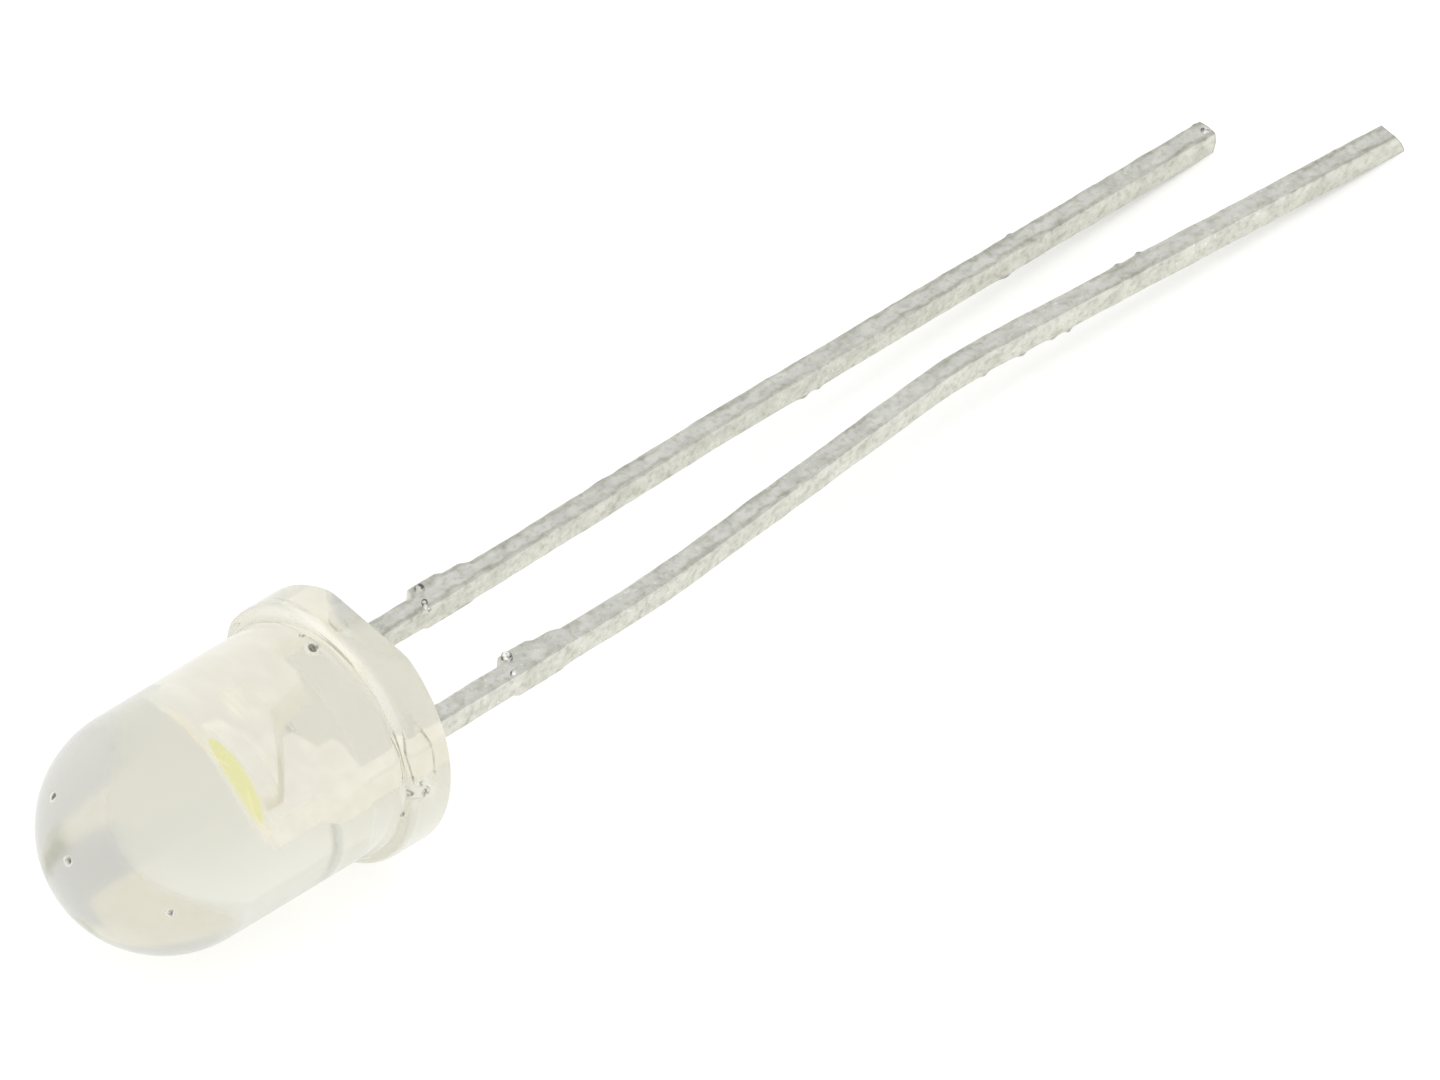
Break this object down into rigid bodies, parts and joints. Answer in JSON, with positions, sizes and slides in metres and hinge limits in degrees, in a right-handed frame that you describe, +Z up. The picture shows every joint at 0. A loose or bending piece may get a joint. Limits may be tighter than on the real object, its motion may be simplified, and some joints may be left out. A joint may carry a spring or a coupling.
{
  "type": "through hole led",
  "caption": "Clear round through-hole LED with a flanged epoxy lens, a reflector cup under yellow phosphor and long tinned wire leads, lying on its side.",
  "frame": {"origin": "centre of the seating plane under the flange, on the lens's axis", "axes": "+X runs towards the dome and +Y towards the anode lead's side; +Z is up from the table that the part lies on. The lens's axis is raised 5.557 degrees from +X, because the part rests on its flange and on the tips of its leads, which run towards -X"},
  "size_m": [0.035, 0.0054, 0.0058],
  "materials": {
    "epoxy": "clear cast epoxy, polished, with a smooth dome",
    "tinned_lead": "tin-plated stamped steel, slightly uneven",
    "phosphor": "matt yellow phosphor in resin",
    "chip": "polished chip",
    "adhesive": "cured die adhesive",
    "gold_wire": "drawn gold wire"
  },
  "bodies": {
    "root": {"lens_body": "epoxy", "cathode_lead": "tinned_lead", "anode_lead": "tinned_lead", "phosphor_fill": "phosphor", "led_chip": "chip", "die_attach": "adhesive", "anode_bond_wire": "gold_wire", "cathode_bond_wire": "gold_wire"}
  },
  "joints": []
}
